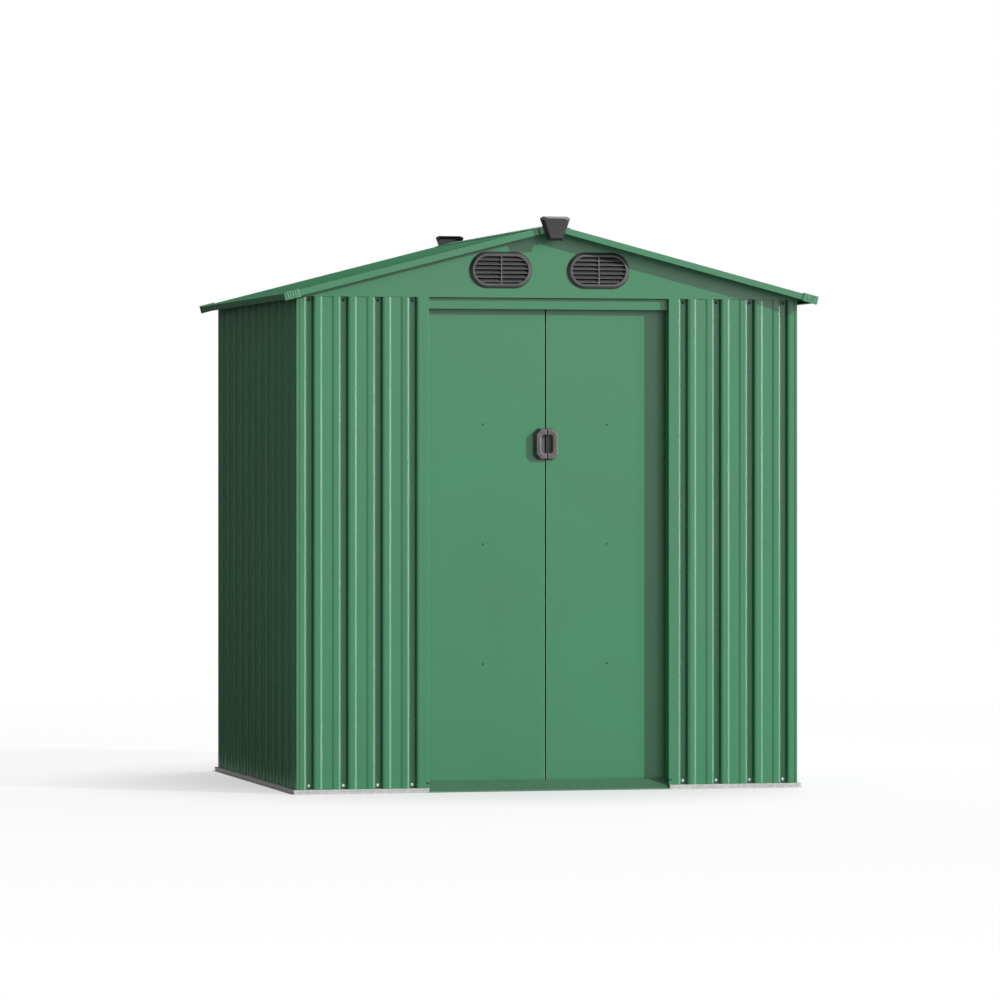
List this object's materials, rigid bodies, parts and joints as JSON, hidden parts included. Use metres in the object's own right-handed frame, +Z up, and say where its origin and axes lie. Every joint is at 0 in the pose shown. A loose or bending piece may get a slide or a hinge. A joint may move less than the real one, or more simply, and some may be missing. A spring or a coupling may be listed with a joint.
{
  "type": "metal storage shed",
  "caption": "Small gable-roofed storage shed of ribbed green steel sheet, with paired sliding doors, louvred gable vents and galvanised floor rails.",
  "frame": {"origin": "on the ground under the middle of the shed", "axes": "+Z up; the doorway faces -Y; +X is to the right for a person facing the doors"},
  "size_m": [1.9166, 1.661, 1.9979],
  "materials": {
    "green_sheet": "satin powder-coated green",
    "galvanised_steel": "dull galvanised",
    "dark_plastic": "moulded, fine texture",
    "slide_plastic": "smooth"
  },
  "bodies": {
    "shed": {"left_floor_rail": "galvanised_steel", "right_floor_rail": "galvanised_steel", "back_floor_rail": "galvanised_steel", "front_left_floor_rail": "galvanised_steel", "front_right_floor_rail": "galvanised_steel", "door_sill": "green_sheet", "left_wall": "green_sheet", "right_wall": "green_sheet", "back_wall": "green_sheet", "front_wall_left": "green_sheet", "front_wall_right": "green_sheet", "left_jamb": "green_sheet", "right_jamb": "green_sheet", "door_track": "green_sheet", "front_gable_left": "green_sheet", "front_gable_right": "green_sheet", "back_gable_left": "green_sheet", "back_gable_right": "green_sheet", "front_vents": "dark_plastic", "back_vents": "dark_plastic", "wall_top_rails": "galvanised_steel", "wall_middle_rails": "galvanised_steel", "roof_beams": "galvanised_steel", "left_roof": "green_sheet", "right_roof": "green_sheet", "ridge_cap": "green_sheet", "front_ridge_end": "dark_plastic", "back_ridge_end": "dark_plastic", "front_left_verge": "green_sheet", "front_right_verge": "green_sheet", "back_left_verge": "green_sheet", "back_right_verge": "green_sheet", "left_eave": "green_sheet", "right_eave": "green_sheet", "front_corner_caps": "green_sheet", "back_corner_caps": "green_sheet"},
    "left_leaf": {"left_door": "green_sheet", "left_door_braces": "galvanised_steel", "left_door_slides": "slide_plastic", "left_door_handle": "dark_plastic"},
    "right_leaf": {"right_door": "green_sheet", "right_door_braces": "galvanised_steel", "right_door_slides": "slide_plastic", "right_door_handle": "dark_plastic"}
  },
  "joints": [
    {"name": "left_door_slide", "type": "slide", "parent": "shed", "child": "left_leaf", "axis": [-1, 0, 0], "range_m": [0, 0.38]},
    {"name": "right_door_slide", "type": "slide", "parent": "shed", "child": "right_leaf", "axis": [1, 0, 0], "range_m": [0, 0.38]}
  ]
}
